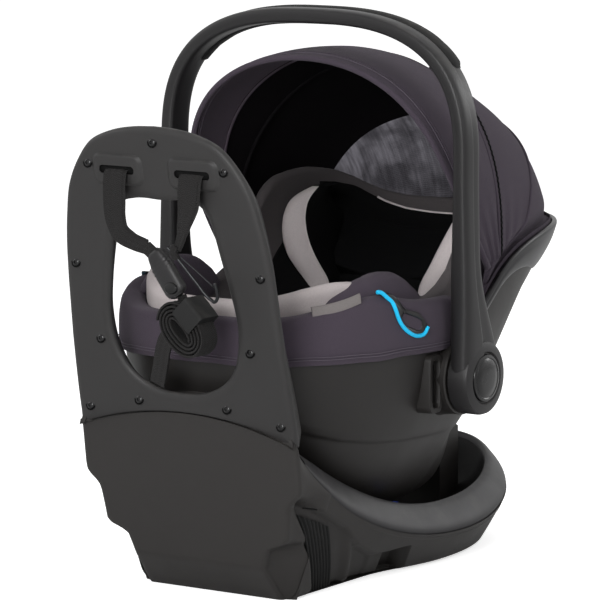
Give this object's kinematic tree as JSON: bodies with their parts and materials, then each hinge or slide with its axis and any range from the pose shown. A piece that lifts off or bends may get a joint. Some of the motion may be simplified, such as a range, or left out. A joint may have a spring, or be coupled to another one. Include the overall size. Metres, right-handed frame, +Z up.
{
  "type": "infant car seat",
  "caption": "Infant car seat carrier with swinging handle, folding canopy, padded harness seat and a latched base that carries a tall rebound panel with anchor straps.",
  "frame": {"origin": "on the floor, in the seat's middle plane, straight below the carrying handle", "axes": "+Z up, +Y towards the head end of the seat, +X to the right of someone looking from the foot end"},
  "size_m": [0.433, 0.6818, 0.638],
  "materials": {
    "shell_plastic": "fine grained, dark charcoal",
    "base_plastic": "fine grained, dark charcoal",
    "bowl_plastic": "smooth satin, dark charcoal",
    "gloss_plastic": "polished black",
    "handle_plastic": "satin black",
    "charcoal_fabric": "fine knit, charcoal with a violet cast",
    "grey_fabric": "soft knit, light warm grey",
    "black_fabric": "soft mesh, black",
    "webbing": "ribbed woven webbing, black",
    "foam": "expanded foam bead, grey",
    "steel": "dark coated steel",
    "screw_steel": "black oxide",
    "dark_rubber": "matt black",
    "red_plastic": "smooth red",
    "bubble_fluid": "clear blue fluid under a window"
  },
  "bodies": {
    "base": {"base_tub": "base_plastic", "base_upper_housing": "bowl_plastic", "latch_bar": "steel", "recline_tower": "shell_plastic", "level_bubble_left": "bubble_fluid", "side_grille_left": "dark_rubber", "level_bubble_right": "bubble_fluid", "side_grille_right": "dark_rubber", "rebound_frame_front": "base_plastic", "rebound_frame_rear": "base_plastic", "rebound_lower_cover": "base_plastic", "panel_screw_1": "screw_steel", "panel_screw_2": "screw_steel", "panel_screw_3": "screw_steel", "panel_screw_4": "screw_steel", "panel_screw_5": "screw_steel", "panel_screw_6": "screw_steel", "panel_screw_7": "screw_steel", "panel_screw_8": "screw_steel", "panel_screw_9": "screw_steel", "panel_screw_10": "screw_steel", "panel_screw_11": "screw_steel", "panel_screw_12": "screw_steel", "panel_screw_13": "screw_steel", "strap_adjuster": "dark_rubber", "anchor_strap_left": "webbing", "anchor_hook": "steel", "anchor_strap_right": "webbing", "rolled_strap": "webbing", "strap_keeper": "webbing"},
    "carrier": {"carrier_shell": "shell_plastic", "foam_liner": "foam", "seat_cover": "charcoal_fabric", "head_rim": "gloss_plastic", "hub_base_left": "shell_plastic", "hub_base_right": "shell_plastic", "adapter_receiver_left": "shell_plastic", "adapter_receiver_right": "shell_plastic", "belt_guide_left": "gloss_plastic", "belt_guide_right": "gloss_plastic", "seat_pad": "grey_fabric", "shoulder_strap_left": "webbing", "shoulder_strap_right": "webbing", "buckle_body": "black_fabric", "crotch_strap": "webbing", "canopy_rear": "charcoal_fabric"},
    "head_support": {"head_pillow": "black_fabric"},
    "harness_push": {"harness_adjuster": "gloss_plastic"},
    "buckle_push": {"buckle_button": "red_plastic"},
    "release": {"release_lever": "gloss_plastic"},
    "latch": {"latch_hook": "steel"},
    "handle": {"handle_frame": "handle_plastic", "handle_grip": "dark_rubber"},
    "hub_push_left": {"hub_button_left": "gloss_plastic"},
    "hub_push_right": {"hub_button_right": "gloss_plastic"},
    "canopy_mid": {"canopy_middle": "charcoal_fabric"},
    "canopy_brow": {"canopy_front": "charcoal_fabric"},
    "adjuster_push": {"adjuster_button": "gloss_plastic"},
    "gate": {"hook_gate": "steel"}
  },
  "joints": [
    {"name": "carrier_lift", "type": "slide", "parent": "base", "child": "carrier", "axis": [0, 0, 1], "range_m": [0, 0.2]},
    {"name": "handle_swing", "type": "hinge", "parent": "carrier", "child": "handle", "pos_m": [0, 0.018, 0.229], "axis": [-1, 0, 0], "range_deg": [-40, 90]},
    {"name": "canopy_fold", "type": "hinge", "parent": "carrier", "child": "canopy_mid", "pos_m": [0, 0.095, 0.314], "axis": [-1, 0, 0], "range_deg": [0, 37]},
    {"name": "canopy_brow_fold", "type": "hinge", "parent": "canopy_mid", "child": "canopy_brow", "pos_m": [0, 0.095, 0.314], "axis": [-1, 0, 0], "range_deg": [0, 32]},
    {"name": "head_support_slide", "type": "slide", "parent": "carrier", "child": "head_support", "axis": [0, 0.8992, 0.4376], "range_m": [0, 0.04]},
    {"name": "harness_release", "type": "slide", "parent": "carrier", "child": "harness_push", "axis": [0, 0, -1], "range_m": [0, 0.003], "stiffness_N_per_m": 400, "springref_m": -0.002},
    {"name": "buckle_press", "type": "slide", "parent": "carrier", "child": "buckle_push", "axis": [0, 1, 0], "range_m": [0, 0.003], "stiffness_N_per_m": 400, "springref_m": -0.002},
    {"name": "release_squeeze", "type": "slide", "parent": "carrier", "child": "release", "axis": [0, 0, 1], "range_m": [0, 0.008], "stiffness_N_per_m": 300, "springref_m": -0.003},
    {"name": "latch_swing", "type": "hinge", "parent": "carrier", "child": "latch", "pos_m": [0, 0.07, 0.05685], "axis": [-1, 0, 0], "range_deg": [0, 18]},
    {"name": "hub_press_left", "type": "slide", "parent": "handle", "child": "hub_push_left", "axis": [1, 0, 0], "range_m": [0, 0.004], "stiffness_N_per_m": 400, "springref_m": -0.002},
    {"name": "hub_press_right", "type": "slide", "parent": "handle", "child": "hub_push_right", "axis": [-1, 0, 0], "range_m": [0, 0.004], "stiffness_N_per_m": 400, "springref_m": -0.002},
    {"name": "adjuster_press", "type": "slide", "parent": "base", "child": "adjuster_push", "axis": [0, 0.9847, 0.1743], "range_m": [0, 0.002], "stiffness_N_per_m": 400, "springref_m": -0.002},
    {"name": "gate_swing", "type": "hinge", "parent": "base", "child": "gate", "pos_m": [0.034, -0.3195, 0.38971], "axis": [0, 0.9847, 0.1743], "range_deg": [0, 10], "stiffness_Nm_per_rad": 0.02, "springref_deg": -5.73}
  ],
  "couplings": [
    {"joint": "canopy_brow_fold", "follows": "canopy_fold", "ratio": 0.8645},
    {"joint": "latch_swing", "follows": "release_squeeze", "rad_per_m": 39.2}
  ]
}
